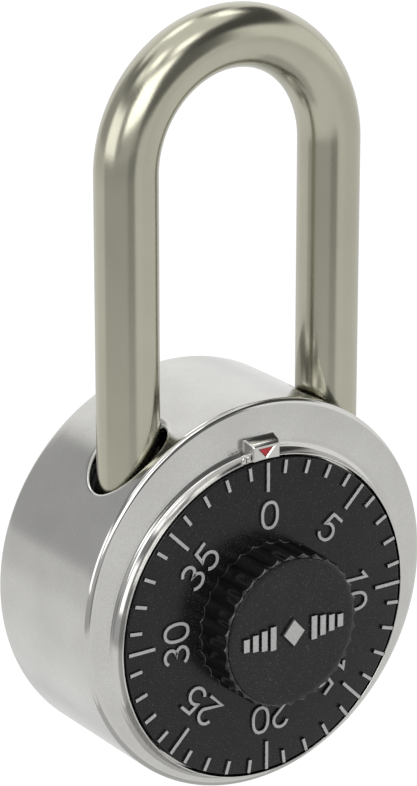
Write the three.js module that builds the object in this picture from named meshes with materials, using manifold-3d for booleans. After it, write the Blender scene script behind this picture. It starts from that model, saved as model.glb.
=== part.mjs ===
// Dial combination padlock with a tall shackle.
// Millimetres. X is to the right, the dial faces -Y, Z is up.
// The origin is the hang point: the underside of the shackle's crown, in the middle of its section.
import * as THREE from 'three'
import { mergeVertices } from 'three/addons/utils/BufferGeometryUtils.js'
import Module from 'manifold-3d'

const wasm = await Module()
wasm.setup()

// ---------------------------------------------------------------- driving dimensions
const CASE_DIAMETER = 47.6
const CASE_FRONT_Y = -6.1
const CASE_BACK_Y = 13
const SHELL_WALL = 1.2
const BEZEL_THICKNESS = 1
const CASE_EDGE_RADIUS = 1
const SHACKLE_DIAMETER = 7.3
const LEG_SPACING = 27.9
const CROWN_TO_DIAL_AXIS = 64
const DIAL_DROP = 2.25 // the dial's axis lies this far below the middle of the case
const SHACKLE_LIFT = 12
const LATCH_PER_LIFT = 0.45 // how far the latch draws back for each millimetre of lift
const HOLE_CLEARANCE = 0.75
const GUIDE_CLEARANCE = 0.3
const PIN_CLEARANCE = 0.3
const TURNING_GAP = 0.15
const SEAT_GAP = 0.05 // between pieces that rest on each other
const CUT_REACH = 30 // how far a cutting block runs, past every wall of the case

const CASE_RADIUS = CASE_DIAMETER / 2
const INNER_RADIUS = CASE_RADIUS - SHELL_WALL
const SHACKLE_RADIUS = SHACKLE_DIAMETER / 2
const LEG_X = LEG_SPACING / 2
const LEG_INNER_X = LEG_X - SHACKLE_RADIUS
const BOW_CENTRE_Z = -LEG_INNER_X
const DIAL_Z = -CROWN_TO_DIAL_AXIS
const MID_BEZEL_Y = CASE_FRONT_Y + BEZEL_THICKNESS / 2
const CASE_Z = DIAL_Z + DIAL_DROP

// The dial and the ring around it. Heights called "above" are above the dial's axis.
const DIAL = { radius: 19.5, face: -7.65, back: -6.1, edgeBreak: 0.3 }
const RING = { inner: 19.75, lip: 19.95, foot: 20.9, front: -7.6 }
const RING_FLANK = { shoulder: 20.25, shoulderY: -7.1, waist: 20.45, waistY: -6.5 }
const DISH = { wall: 0.9, front: -5.4, back: -4.5, bore: 3.9 }
const KNOB = { ridge: 9.45, valley: 9.1, flutes: 32, face: -12.85, recess: 8.75, recessDepth: 0.8 }
const CAP_RADIUS = 8.7
const INDEX = { front: -7.75, baseHalf: 2.05, frontHalf: 1.6, bottom: 19.7, baseTop: 21.9, frontTop: 21.45 }
const TRIANGLE = { halfWidth: 1, top: 20.95, height: 1.15, pocketDepth: 0.9, thickness: 0.2, gap: 0.08 }

// The turning parts on the dial's axis.
const SPINDLE = { radius: 2.5, front: -11.3, back: 6.05 }
const BUSH = { bore: 2.75, front: -5.3, flange: 5, flangeFront: -4.35, flangeBack: -3.7, tail: -3.4 }
const FRICTION_WASHER = { inner: 4.2, outer: 7, front: -5.95, back: -5.5 }
const POST = { radius: 2.6, front: 6.3, flange: 5, flangeFront: 11.5, back: 11.95 }
const WHEEL_RADIUS = 11
const WHEEL_BORE = POST.radius + PIN_CLEARANCE
const CLIP_RADIUS = 4.2
const SPACER_RADIUS = 4.6
const WHEEL_SPRING = { inner: 2.85, outer: 6, sheet: 0.3 }
const CAM = { front: 4.7, back: 5.9, notches: 12 }
const MIDDLE_WHEEL = { front: 7, back: 8 }
const BACK_WHEEL = { front: 9.1, back: 10.1 }
const GATE = { angle: 7.2, width: 2.8, floor: 9 }
const TAB = { radius: 7, radial: 1.6, width: 1.4, reach: 0.85 }
const CAM_TAB_ANGLE = 90
const MIDDLE_FRONT_TAB_ANGLE = 255
const MIDDLE_BACK_TAB_ANGLE = 40
const BACK_TAB_ANGLE = 25

// The lever that carries the fence, and the latch that slides on it.
const PIVOT = { x: 8, above: 11, radius: 1.2, front: -3.2, back: 11.95 }
const LEVER = { front: 1, back: 2.2, left: -4.2, right: 9.7, low: 16.4, high: 19.7 }
const LEVER_DETAIL = { boss: 2.2, strut: 6, lug: 1 }
const OVERLAP = 0.5 // how far joined blocks run into each other
const FENCE = { left: -2.1, right: -0.5, bottom: 11.5, top: 13.2, back: 10.4 }
const LATCH = { tail: 4.2, nose: 11.6, bottom: 16.9, top: 18.9, front: -1.2, back: 0.7, noseFace: 0.7 }
const RAIL = { left: 6, right: 9, height: 0.6, gap: 0.2 }

// The shackle's legs below the case top.
const TOE_TIP_ABOVE = 12
const HEEL_END_ABOVE = -6
const HEEL_COLLAR = 2.5
const COLLAR_TOP_ABOVE = HEEL_END_ABOVE + HEEL_COLLAR
const NECK = { radius: 2.4, top: 11.1 }
const NOTCH = { floor: 11.95, top: 19.3, clearance: 0.2 }
// The collar at the heel's end meets this pin just past the full lift.
const STOP_PIN = { x: -10.1, above: COLLAR_TOP_ABOVE + SHACKLE_LIFT + 1.2, radius: 1, front: -4.3, back: 4.2 }
const FRAME = { radius: 22.2, front: -4.4, webBack: -3.4, back: 4.3, inner: 10.6 }
const FRAME_LOW = { web: 6, toe: 8, heel: -8, underLeg: 1 }

const CASE_SIDES = 60
const ROUND_SIDES = 30
const SMALL_SIDES = 20

// ---------------------------------------------------------------- colours of the materials
const finish = (color, roughness, metalness) =>
  new THREE.MeshStandardMaterial({ color, roughness, metalness })
const STAINLESS = finish('#b9b8b4', 0.35, 1)
const SHACKLE_STEEL = finish('#a3a18f', 0.25, 1)
const BLACK_SATIN = finish('#26272a', 0.5, 0)
const BLACK_GLOSS = finish('#111214', 0.2, 0)
const RED_PAINT = finish('#a81f22', 0.5, 0)
const PLATED_STEEL = finish('#a9a69b', 0.4, 1)
const ZINC = finish('#8f9192', 0.55, 1)
const BRASS = finish('#b08d4f', 0.4, 1)
const SPRING_STEEL = finish('#7c7e82', 0.35, 1)
const BLACK_CASTING = finish('#303133', 0.6, 0)

// ---------------------------------------------------------------- helpers
const group = new THREE.Group()

function toSolid(geometry) {
  const bare = geometry.index ? geometry.toNonIndexed() : geometry.clone()
  bare.deleteAttribute('normal')
  bare.deleteAttribute('uv')
  const merged = mergeVertices(bare, 1e-4)
  const vertProperties = new Float32Array(merged.attributes.position.array)
  const triVerts = new Uint32Array(merged.index.array)
  return new wasm.Manifold(new wasm.Mesh({ numProp: 3, vertProperties, triVerts }))
}

function toGeometry(solid) {
  const mesh = solid.getMesh()
  const geometry = new THREE.BufferGeometry()
  geometry.setAttribute('position', new THREE.BufferAttribute(new Float32Array(mesh.vertProperties), 3))
  geometry.setIndex(new THREE.BufferAttribute(new Uint32Array(mesh.triVerts), 1))
  geometry.computeVertexNormals()
  return geometry
}

function add(name, geometry, material, x = 0, z = 0) {
  const mesh = new THREE.Mesh(geometry, material)
  mesh.name = name
  mesh.position.set(x, 0, z)
  group.add(mesh)
}

// A turned piece about the Y axis from [radius, y] points that run once round its section.
function turned(points, sides = ROUND_SIDES) {
  let area = 0
  points.forEach(([r, y], i) => {
    const [nextR, nextY] = points[(i + 1) % points.length]
    area += r * nextY - nextR * y
  })
  const ordered = area > 0 ? points : [...points].reverse()
  const section = ordered.map(([r, y]) => new THREE.Vector2(r, y))
  const onAxis = points.some(([r]) => r === 0)
  if (!onAxis) section.push(section[0].clone())
  return new THREE.LatheGeometry(section, sides)
}

const disc = (radius, front, back, sides) =>
  turned([[0, front], [radius, front], [radius, back], [0, back]], sides)

const washer = (inner, outer, front, back, sides) =>
  turned([[inner, front], [outer, front], [outer, back], [inner, back]], sides)

// A plate whose outline is drawn in X and Z, between two depths.
function plate(outline, front, back) {
  const options = { depth: back - front, bevelEnabled: false, curveSegments: 10 }
  const geometry = new THREE.ExtrudeGeometry(outline, options)
  return geometry.rotateX(Math.PI / 2).translate(0, back, 0)
}

const polygon = (points) => new THREE.Shape(points.map(([x, z]) => new THREE.Vector2(x, z)))

const rectangle = (left, right, low, high) =>
  polygon([[left, low], [right, low], [right, high], [left, high]])

const block = (left, right, low, high, front, back) =>
  toSolid(plate(rectangle(left, right, low, high), front, back))

// A round bar that stands along Z, from one height to another.
function upright(radius, low, high, x, sides = SMALL_SIDES) {
  const bar = new THREE.CylinderGeometry(radius, radius, high - low, sides)
  return bar.rotateX(Math.PI / 2).translate(x, 0, (low + high) / 2)
}

// Angles on the dial's axis run anticlockwise from the top, seen from the front.
const turnedTo = (solid, degrees) => solid.rotate([0, -degrees, 0])

function wire(points, radius, sides = 6) {
  const path = new THREE.CatmullRomCurve3(points)
  const section = new THREE.Shape()
  section.absarc(0, 0, radius, 0, 2 * Math.PI)
  const options = { steps: points.length - 1, extrudePath: path, curveSegments: sides / 2 }
  return new THREE.ExtrudeGeometry(section, options)
}

// ---------------------------------------------------------------- case
function caseCup() {
  const edge = CASE_EDGE_RADIUS
  const lipInner = 21.6
  const lipThickness = 0.7
  const corner = (centreY, from) =>
    [0, 1, 2, 3].map((i) => {
      const angle = from + (i / 3) * (Math.PI / 2)
      return [CASE_RADIUS - edge + edge * Math.cos(angle), centreY + edge * Math.sin(angle)]
    })
  return turned([
    [0, CASE_FRONT_Y],
    ...corner(CASE_FRONT_Y + edge, -Math.PI / 2),
    ...corner(CASE_BACK_Y - edge, 0),
    [lipInner, CASE_BACK_Y],
    [lipInner, CASE_BACK_Y - lipThickness],
    [INNER_RADIUS, CASE_BACK_Y - lipThickness],
    [INNER_RADIUS, CASE_FRONT_Y + BEZEL_THICKNESS],
    [0, CASE_FRONT_Y + BEZEL_THICKNESS],
  ], CASE_SIDES)
}

function dialDish() {
  const outer = RING.inner + DISH.wall
  return turned([
    [DISH.bore, DISH.front],
    [RING.inner, DISH.front],
    [RING.inner, RING.front],
    [RING.lip, RING.front],
    [RING_FLANK.shoulder, RING_FLANK.shoulderY],
    [RING_FLANK.waist, RING_FLANK.waistY],
    [RING.foot, CASE_FRONT_Y],
    [RING.foot, MID_BEZEL_Y],
    [outer, MID_BEZEL_Y],
    [outer, DISH.back],
    [DISH.bore, DISH.back],
  ], CASE_SIDES)
}

// The index is a small block with sloping sides that stands on the bezel above the dial.
function indexBlock() {
  const outline = rectangle(-INDEX.baseHalf, INDEX.baseHalf, INDEX.bottom, INDEX.baseTop)
  const geometry = plate(outline, INDEX.front, MID_BEZEL_Y)
  const position = geometry.attributes.position
  for (let i = 0; i < position.count; i++) {
    const onBase = position.getY(i) > (INDEX.front + MID_BEZEL_Y) / 2
    if (onBase) continue
    position.setX(i, Math.sign(position.getX(i)) * INDEX.frontHalf)
    const onTop = position.getZ(i) > INDEX.frontTop
    if (onTop) position.setZ(i, INDEX.frontTop)
  }
  return toSolid(geometry)
}

function triangleOutline(grow) {
  const low = TRIANGLE.top - TRIANGLE.height
  return polygon([
    [-TRIANGLE.halfWidth - grow, TRIANGLE.top + grow / 2],
    [0, low - grow],
    [TRIANGLE.halfWidth + grow, TRIANGLE.top + grow / 2],
  ])
}

function makeShell() {
  const mouthRadius = (RING.foot + RING.inner + DISH.wall) / 2
  const behindBezel = CASE_FRONT_Y + BEZEL_THICKNESS + TURNING_GAP
  const mouth = toSolid(disc(mouthRadius, -CUT_REACH, behindBezel, CASE_SIDES))
  const dish = toSolid(dialDish())
  const pocketFloor = INDEX.front + TRIANGLE.pocketDepth
  const pocket = toSolid(plate(triangleOutline(TRIANGLE.gap), -CUT_REACH, pocketFloor))
  const dialRoom = toSolid(disc(RING.inner, -CUT_REACH, DISH.front, CASE_SIDES))
  let shell = toSolid(caseCup().translate(0, 0, DIAL_DROP))
  shell = shell.subtract(mouth).add(dish).add(indexBlock()).subtract(dialRoom).subtract(pocket)
  for (const side of [-1, 1]) {
    const hole = upright(SHACKLE_RADIUS + HOLE_CLEARANCE, TOE_TIP_ABOVE, CUT_REACH, side * LEG_X, ROUND_SIDES)
    shell = shell.subtract(toSolid(hole))
  }
  add('outer_shell', toGeometry(shell), STAINLESS, 0, DIAL_Z)
  const inlayBack = pocketFloor - SEAT_GAP
  const inlay = plate(triangleOutline(0), inlayBack - TRIANGLE.thickness, inlayBack)
  add('index_triangle', inlay, RED_PAINT, 0, DIAL_Z)
}

function makeBackCover() {
  const flange = 22.3
  const panel = 21.3
  const sheet = 0.9
  const flangeFront = 11.2
  const cover = turned([
    [0, CASE_BACK_Y],
    [panel, CASE_BACK_Y],
    [panel, flangeFront + sheet],
    [flange, flangeFront + sheet],
    [flange, flangeFront],
    [panel - sheet, flangeFront],
    [panel - sheet, CASE_BACK_Y - sheet],
    [0, CASE_BACK_Y - sheet],
  ], CASE_SIDES)
  add('back_cover', cover, STAINLESS, 0, CASE_Z)
}

function makeGuideFrame() {
  const circle = toSolid(disc(FRAME.radius, FRAME.front, FRAME.back, CASE_SIDES).translate(0, 0, DIAL_DROP))
  const web = block(-CUT_REACH, CUT_REACH, FRAME_LOW.web, CUT_REACH, FRAME.front, FRAME.webBack)
  const toeBlock = block(FRAME.inner, CUT_REACH, FRAME_LOW.toe, CUT_REACH, FRAME.front, FRAME.back)
  const heelBlock = block(-CUT_REACH, -FRAME.inner, FRAME_LOW.heel, CUT_REACH, FRAME.front, FRAME.back)
  const bore = SHACKLE_RADIUS + GUIDE_CLEARANCE
  const toeBore = toSolid(upright(bore, TOE_TIP_ABOVE - FRAME_LOW.underLeg, CUT_REACH, LEG_X, ROUND_SIDES))
  const heelBore = toSolid(upright(bore, HEEL_END_ABOVE - FRAME_LOW.underLeg, CUT_REACH, -LEG_X, ROUND_SIDES))
  const pinHole = disc(STOP_PIN.radius + PIN_CLEARANCE, -CUT_REACH, CUT_REACH, SMALL_SIDES)
    .translate(STOP_PIN.x, 0, STOP_PIN.above)
  const frame = web.add(toeBlock).add(heelBlock).intersect(circle)
    .subtract(toeBore).subtract(heelBore).subtract(toSolid(pinHole))
  add('guide_frame', toGeometry(frame), BLACK_CASTING, 0, DIAL_Z)
}

function makePins() {
  const stop = disc(STOP_PIN.radius, STOP_PIN.front, STOP_PIN.back, SMALL_SIDES)
  add('shackle_stop_pin', stop, PLATED_STEEL, STOP_PIN.x, DIAL_Z + STOP_PIN.above)
  const pivot = disc(PIVOT.radius, PIVOT.front, PIVOT.back, SMALL_SIDES)
  add('lever_pivot_pin', pivot, PLATED_STEEL, PIVOT.x, DIAL_Z + PIVOT.above)
}

// ---------------------------------------------------------------- dial, knob and spindle
function makeDial() {
  const bore = SPINDLE.radius + TURNING_GAP
  const face = turned([
    [bore, DIAL.face],
    [DIAL.radius - DIAL.edgeBreak, DIAL.face],
    [DIAL.radius, DIAL.face + DIAL.edgeBreak],
    [DIAL.radius, DIAL.back],
    [bore, DIAL.back],
  ], CASE_SIDES)
  add('dial_disc', face, BLACK_SATIN, 0, DIAL_Z)
}

function makeKnob() {
  const outline = new THREE.Shape()
  const points = KNOB.flutes * 2
  for (let i = 0; i < points; i++) {
    const radius = i % 2 === 0 ? KNOB.ridge : KNOB.valley
    const angle = (i / points) * 2 * Math.PI
    const x = radius * Math.sin(angle)
    const z = radius * Math.cos(angle)
    if (i === 0) outline.moveTo(x, z)
    else outline.lineTo(x, z)
  }
  const body = toSolid(plate(outline, KNOB.face, DIAL.face - SEAT_GAP))
  const recess = toSolid(disc(KNOB.recess, -CUT_REACH, KNOB.face + KNOB.recessDepth))
  const bore = toSolid(disc(SPINDLE.radius + TURNING_GAP, SPINDLE.front - TURNING_GAP, 0, SMALL_SIDES))
  add('dial_knob', toGeometry(body.subtract(recess).subtract(bore)), BLACK_GLOSS, 0, DIAL_Z)
  const cap = disc(CAP_RADIUS, KNOB.face, KNOB.face + KNOB.recessDepth - SEAT_GAP)
  add('knob_cap', cap, BLACK_SATIN, 0, DIAL_Z)
}

function makeSpindle() {
  add('dial_spindle', disc(SPINDLE.radius, SPINDLE.front, SPINDLE.back, SMALL_SIDES), PLATED_STEEL, 0, DIAL_Z)
  const bush = turned([
    [BUSH.bore, BUSH.front],
    [DISH.bore - TURNING_GAP, BUSH.front],
    [DISH.bore - TURNING_GAP, BUSH.flangeFront],
    [BUSH.flange, BUSH.flangeFront],
    [BUSH.flange, BUSH.flangeBack],
    [BUSH.bore, BUSH.tail],
  ], SMALL_SIDES)
  add('spindle_bush', bush, BRASS, 0, DIAL_Z)
  const { inner, outer, front, back } = FRICTION_WASHER
  add('dial_friction_washer', washer(inner, outer, front, back), SPRING_STEEL, 0, DIAL_Z)
}

// ---------------------------------------------------------------- wheel pack
function gate(front, back, angle) {
  const half = GATE.width / 2
  return turnedTo(block(-half, half, GATE.floor, CUT_REACH, front - 1, back + 1), angle)
}

function tab(front, back, angle) {
  const half = TAB.width / 2
  const low = TAB.radius - TAB.radial / 2
  return turnedTo(block(-half, half, low, low + TAB.radial, front, back), angle)
}

function makeDriveCam() {
  let cam = toSolid(washer(SPINDLE.radius + TURNING_GAP, WHEEL_RADIUS, CAM.front, CAM.back, CASE_SIDES))
  for (let i = 0; i < CAM.notches; i++) {
    cam = cam.subtract(gate(CAM.front, CAM.back, GATE.angle + (i * 360) / CAM.notches))
  }
  cam = cam.add(tab(CAM.back - 0.1, CAM.back + TAB.reach, CAM_TAB_ANGLE))
  add('drive_cam', toGeometry(cam), ZINC, 0, DIAL_Z)
}

function makeWheel(name, wheel, frontTab, backTab) {
  let solid = toSolid(washer(WHEEL_BORE, WHEEL_RADIUS, wheel.front, wheel.back, CASE_SIDES))
  solid = solid.subtract(gate(wheel.front, wheel.back, GATE.angle))
  solid = solid.add(tab(wheel.front - TAB.reach, wheel.front + 0.1, frontTab))
  if (backTab !== null) solid = solid.add(tab(wheel.back - 0.1, wheel.back + TAB.reach, backTab))
  add(name, toGeometry(solid), BRASS, 0, DIAL_Z)
}

function makeWheelPost() {
  const post = turned([
    [0, POST.front],
    [POST.radius, POST.front],
    [POST.radius, POST.flangeFront],
    [POST.flange, POST.flangeFront],
    [POST.flange, POST.back],
    [0, POST.back],
  ], SMALL_SIDES)
  add('wheel_post', post, PLATED_STEEL, 0, DIAL_Z)
  const inner = POST.radius + TURNING_GAP
  const clipBack = MIDDLE_WHEEL.front - TURNING_GAP
  const clip = washer(inner, CLIP_RADIUS, POST.front + SEAT_GAP, clipBack, SMALL_SIDES)
  add('wheel_retaining_clip', clip, SPRING_STEEL, 0, DIAL_Z)
  const spacerFront = MIDDLE_WHEEL.back + TURNING_GAP
  const spacer = washer(inner, SPACER_RADIUS, spacerFront, BACK_WHEEL.front - TURNING_GAP, SMALL_SIDES)
  add('wheel_spacer', spacer, PLATED_STEEL, 0, DIAL_Z)
}

// A dished spring washer between the rear wheel and the post's flange keeps the wheel pack pressed together.
function makeWheelSpring() {
  const { inner, outer, sheet } = WHEEL_SPRING
  const front = BACK_WHEEL.back + SEAT_GAP * 2
  const back = POST.flangeFront - SEAT_GAP * 2
  const spring = turned([
    [inner, back - sheet],
    [inner, back],
    [outer, front + sheet],
    [outer, front],
  ])
  add('wheel_spring', spring, SPRING_STEEL, 0, DIAL_Z)
}

// ---------------------------------------------------------------- lever and latch
function makeLever() {
  const bar = block(LEVER.left, LEVER.right, LEVER.low, LEVER.high, LEVER.front, LEVER.back)
  const jointHigh = LEVER.low + OVERLAP
  const strut = block(LEVER_DETAIL.strut, LEVER.right, PIVOT.above + OVERLAP, jointHigh,
    LEVER.front, LEVER.back)
  const boss = toSolid(disc(LEVER_DETAIL.boss, LEVER.front, LEVER.back, SMALL_SIDES)
    .translate(PIVOT.x, 0, PIVOT.above))
  const arm = block(FENCE.left - OVERLAP, FENCE.right + OVERLAP, FENCE.bottom + OVERLAP, jointHigh,
    LEVER.front, LEVER.back)
  const fence = block(FENCE.left, FENCE.right, FENCE.bottom, FENCE.top, LEVER.front, FENCE.back)
  const stopLug = block(LEVER.left, LEVER.left + LEVER_DETAIL.lug, LATCH.bottom, LATCH.top,
    LATCH.front, LEVER.back)
  const topRail = block(RAIL.left, RAIL.right, LATCH.top + RAIL.gap, LATCH.top + RAIL.gap + RAIL.height,
    LATCH.front, LEVER.back)
  const lowRail = block(RAIL.left, RAIL.right, LATCH.bottom - RAIL.gap - RAIL.height, LATCH.bottom - RAIL.gap,
    LATCH.front, LEVER.back)
  const hole = toSolid(disc(PIVOT.radius + PIN_CLEARANCE, -CUT_REACH, CUT_REACH, SMALL_SIDES)
    .translate(PIVOT.x, 0, PIVOT.above))
  const added = [strut, boss, arm, fence, stopLug, topRail, lowRail]
  const lever = added.reduce((joined, piece) => joined.add(piece), bar).subtract(hole)
  add('fence_lever', toGeometry(lever), PLATED_STEEL, 0, DIAL_Z)
}

function makeLatch() {
  const outline = polygon([
    [LATCH.tail, LATCH.bottom],
    [LATCH.nose, LATCH.bottom],
    [LATCH.nose, LATCH.bottom + LATCH.noseFace],
    [LEG_INNER_X, LATCH.top],
    [LATCH.tail, LATCH.top],
  ])
  add('spring_latch', plate(outline, LATCH.front, LATCH.back), PLATED_STEEL, 0, DIAL_Z)
}

function makeLatchSpring() {
  const coil = { radius: 0.7, wire: 0.17, turns: 4, steps: 12 }
  const left = LEVER.left + LEVER_DETAIL.lug + coil.wire + SEAT_GAP * 2
  const right = LATCH.tail - coil.wire - SEAT_GAP * 2
  const middleY = (LATCH.front + LATCH.back) / 2
  const middleZ = (LATCH.bottom + LATCH.top) / 2
  const count = coil.turns * coil.steps
  const points = []
  for (let i = 0; i <= count; i++) {
    const angle = (i / coil.steps) * 2 * Math.PI
    const y = middleY + coil.radius * Math.cos(angle)
    const z = middleZ + coil.radius * Math.sin(angle)
    points.push(new THREE.Vector3(left + ((right - left) * i) / count, y, z))
  }
  add('latch_spring', wire(points, coil.wire), SPRING_STEEL, 0, DIAL_Z)
}

// A torsion spring round the pivot: one tail lies behind the lever, the other against the frame.
function makeLeverSpring() {
  const coil = { radius: 1.85, wire: 0.22, turns: 2.5, steps: 16, pitch: 0.6, front: 2.65 }
  const tail = { near: 2.2, far: 4.5 }
  const points = []
  points.push(new THREE.Vector3(-coil.radius, coil.front, tail.far))
  points.push(new THREE.Vector3(-coil.radius, coil.front, tail.near))
  const count = coil.turns * coil.steps
  for (let i = 0; i <= count; i++) {
    const angle = (i / coil.steps) * 2 * Math.PI
    const x = -coil.radius * Math.cos(angle)
    const z = -coil.radius * Math.sin(angle)
    points.push(new THREE.Vector3(x, coil.front + (coil.pitch * i) / coil.steps, z))
  }
  const back = coil.front + coil.pitch * coil.turns
  points.push(new THREE.Vector3(coil.radius, back, -tail.near))
  add('lever_spring', wire(points, coil.wire), SPRING_STEEL, PIVOT.x, DIAL_Z + PIVOT.above)
}

// ---------------------------------------------------------------- shackle
// The centre line runs up the heel leg, round the bow and down the toe leg.
class ShacklePath extends THREE.Curve {
  static bowSteps = 18

  getPoint(t, target = new THREE.Vector3()) {
    const along = t * (ShacklePath.bowSteps + 2)
    const bow = BOW_CENTRE_Z
    if (along < 1) return target.set(-LEG_X, 0, THREE.MathUtils.lerp(DIAL_Z + HEEL_END_ABOVE, bow, along))
    if (along > ShacklePath.bowSteps + 1) {
      const down = along - ShacklePath.bowSteps - 1
      return target.set(LEG_X, 0, THREE.MathUtils.lerp(bow, DIAL_Z + TOE_TIP_ABOVE, down))
    }
    const angle = Math.PI * (1 - (along - 1) / ShacklePath.bowSteps)
    return target.set(LEG_X * Math.cos(angle), 0, bow + LEG_X * Math.sin(angle))
  }

  getPointAt(u, target) {
    return this.getPoint(u, target)
  }

  getTangentAt(u, target) {
    return this.getTangent(u, target)
  }
}

function makeShackle() {
  const section = new THREE.Shape()
  section.absarc(0, 0, SHACKLE_RADIUS, 0, 2 * Math.PI)
  const steps = ShacklePath.bowSteps + 2
  const options = { steps, extrudePath: new ShacklePath(), curveSegments: SMALL_SIDES / 2 }
  let shackle = toSolid(new THREE.ExtrudeGeometry(section, options)).translate([0, 0, -DIAL_Z])

  // The toe's notch: a ramp that the latch's nose climbs as the shackle lifts.
  const noseReach = LATCH.nose - LEG_INNER_X + NOTCH.clearance
  const rampLow = LATCH.bottom - noseReach / LATCH_PER_LIFT
  const outside = SHACKLE_RADIUS / 2
  const notch = polygon([
    [LEG_INNER_X - outside, rampLow - outside / LATCH_PER_LIFT],
    [NOTCH.floor, rampLow + (NOTCH.floor - LEG_INNER_X) / LATCH_PER_LIFT],
    [NOTCH.floor, NOTCH.top],
    [LEG_INNER_X - outside, NOTCH.top + NOTCH.floor - LEG_INNER_X + outside],
  ])
  shackle = shackle.subtract(toSolid(plate(notch, -SHACKLE_DIAMETER, SHACKLE_DIAMETER)))

  // The heel's neck lets the shackle rise until the collar below it meets the stop pin.
  const sleeve = toSolid(upright(SHACKLE_DIAMETER, COLLAR_TOP_ABOVE, NECK.top, -LEG_X))
    .subtract(toSolid(upright(NECK.radius, COLLAR_TOP_ABOVE - 1, NECK.top + 1, -LEG_X)))
  shackle = shackle.subtract(sleeve)
  add('shackle', toGeometry(shackle), SHACKLE_STEEL, 0, DIAL_Z)
}

// ---------------------------------------------------------------- the whole padlock
makeShell()
makeBackCover()
makeGuideFrame()
makePins()
makeDial()
makeKnob()
makeSpindle()
makeDriveCam()
makeWheel('middle_wheel', MIDDLE_WHEEL, MIDDLE_FRONT_TAB_ANGLE, MIDDLE_BACK_TAB_ANGLE)
makeWheel('back_wheel', BACK_WHEEL, BACK_TAB_ANGLE, null)
makeWheelPost()
makeWheelSpring()
makeLever()
makeLatch()
makeLatchSpring()
makeLeverSpring()
makeShackle()

export default group
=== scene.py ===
import math

import bmesh
import bpy
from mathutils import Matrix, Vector


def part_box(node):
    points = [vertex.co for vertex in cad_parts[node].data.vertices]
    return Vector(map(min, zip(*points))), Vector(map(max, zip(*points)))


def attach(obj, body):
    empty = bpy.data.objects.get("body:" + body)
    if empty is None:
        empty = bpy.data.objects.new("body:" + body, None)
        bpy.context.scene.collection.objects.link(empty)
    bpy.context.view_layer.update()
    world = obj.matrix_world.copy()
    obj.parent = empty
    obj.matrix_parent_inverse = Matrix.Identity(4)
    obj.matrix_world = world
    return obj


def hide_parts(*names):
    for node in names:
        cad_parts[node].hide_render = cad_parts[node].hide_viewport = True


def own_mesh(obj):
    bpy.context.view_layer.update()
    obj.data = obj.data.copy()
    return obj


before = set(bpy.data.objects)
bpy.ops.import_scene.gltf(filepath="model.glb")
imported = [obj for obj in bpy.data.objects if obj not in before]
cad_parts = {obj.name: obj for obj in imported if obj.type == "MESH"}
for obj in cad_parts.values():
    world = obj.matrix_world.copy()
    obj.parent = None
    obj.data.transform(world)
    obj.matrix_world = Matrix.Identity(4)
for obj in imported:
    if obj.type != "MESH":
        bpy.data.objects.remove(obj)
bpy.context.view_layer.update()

MM = 0.001

# ---------------------------------------------------------------- places, from the frame
# X is to the right, the dial faces -Y, Z is up. Everything below is in metres.
SHELL_LOW, SHELL_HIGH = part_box("outer_shell")
COVER_LOW, COVER_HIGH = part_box("back_cover")
DIAL_LOW, DIAL_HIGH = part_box("dial_disc")
KNOB_LOW, KNOB_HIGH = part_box("dial_knob")
CAP_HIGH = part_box("knob_cap")[1]
INLAY_LOW, INLAY_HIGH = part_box("index_triangle")
SHACKLE_LOW, SHACKLE_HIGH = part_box("shackle")

CASE_RADIUS = (SHELL_HIGH.x - SHELL_LOW.x) / 2
CASE_Z = (SHELL_HIGH.z + SHELL_LOW.z) / 2
CASE_BACK = SHELL_HIGH.y
BEZEL = DIAL_HIGH.y
DIAL_Z = (DIAL_HIGH.z + DIAL_LOW.z) / 2
DIAL_RADIUS = DIAL_HIGH.x
DIAL_FACE = DIAL_LOW.y
KNOB_FACE = KNOB_LOW.y
KNOB_RADIUS = KNOB_HIGH.z - DIAL_Z
CAP_RADIUS = CAP_HIGH.z - DIAL_Z + 0.17 * MM
BAR_RADIUS = SHACKLE_HIGH.y
LEG_X = SHACKLE_HIGH.x - BAR_RADIUS
BOW_Z = SHACKLE_HIGH.z - BAR_RADIUS - LEG_X
HEEL_END = SHACKLE_LOW.z
# The toe leg's end, above the dial's axis.
TOE_TIP = 12 * MM

# ---------------------------------------------------------------- sizes of the visible surfaces
# How many points there are round the case and the dial, and round the shackle's bar.
AROUND = 576
BAR_SIDES = 48

WALL = 1.2 * MM
INNER_RADIUS = CASE_RADIUS - WALL
BEZEL_THICKNESS = 1.0 * MM
EDGE_RADIUS = 0.7 * MM
HOLE_RADIUS = BAR_RADIUS + 0.75 * MM
HOLE_LIP = 0.55 * MM
REAR_LIP_RADIUS = 21.6 * MM
REAR_LIP_THICKNESS = 0.7 * MM

RING_INNER = 19.75 * MM
RING_TOP = DIAL_FACE + 0.05 * MM
RING_FOOT = 21.35 * MM
RING_LIP = 0.1 * MM
RING_RIPPLE = 0.02 * MM
RING_WAVES = 3
# The ring's flank: its rows, how many of them are polished, and the share of the way to the bezel's edge
# that it may take.
FLANK_STEPS = 40
FLANK_POLISHED = 22
FLANK_REACH = 0.85
INDEX_X = -0.12 * MM
TRIANGLE_HALF = 0.98 * MM
DISH_FLOOR = -5.4 * MM
DISH_BACK = -4.5 * MM
DISH_BORE = 3.9 * MM
DISH_WALL = 0.9 * MM
DISH_GAP = 0.05 * MM

FLUTES = 32
FLUTE_DEPTH = 0.36 * MM
FLUTE_TURN = math.radians(0.9)
SPINDLE_BORE = 2.65 * MM
MARK_HEIGHT = 0.33 * MM
MARK_WIDTH = 0.42 * MM
MARK_BASE = DIAL_FACE + 0.01 * MM
SHORT_TICK = 17.68 * MM
LONG_TICK = 15.73 * MM
TICK_OUTER = 19.3 * MM
NUMERAL_RADIUS = 12.77 * MM
NUMERAL_HEIGHT = 3.14 * MM
NUMERAL_STROKE = 0.4 * MM
DIGIT_SPACING = 2.8 * MM
DEGREES_PER_NUMBER = 9
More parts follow.
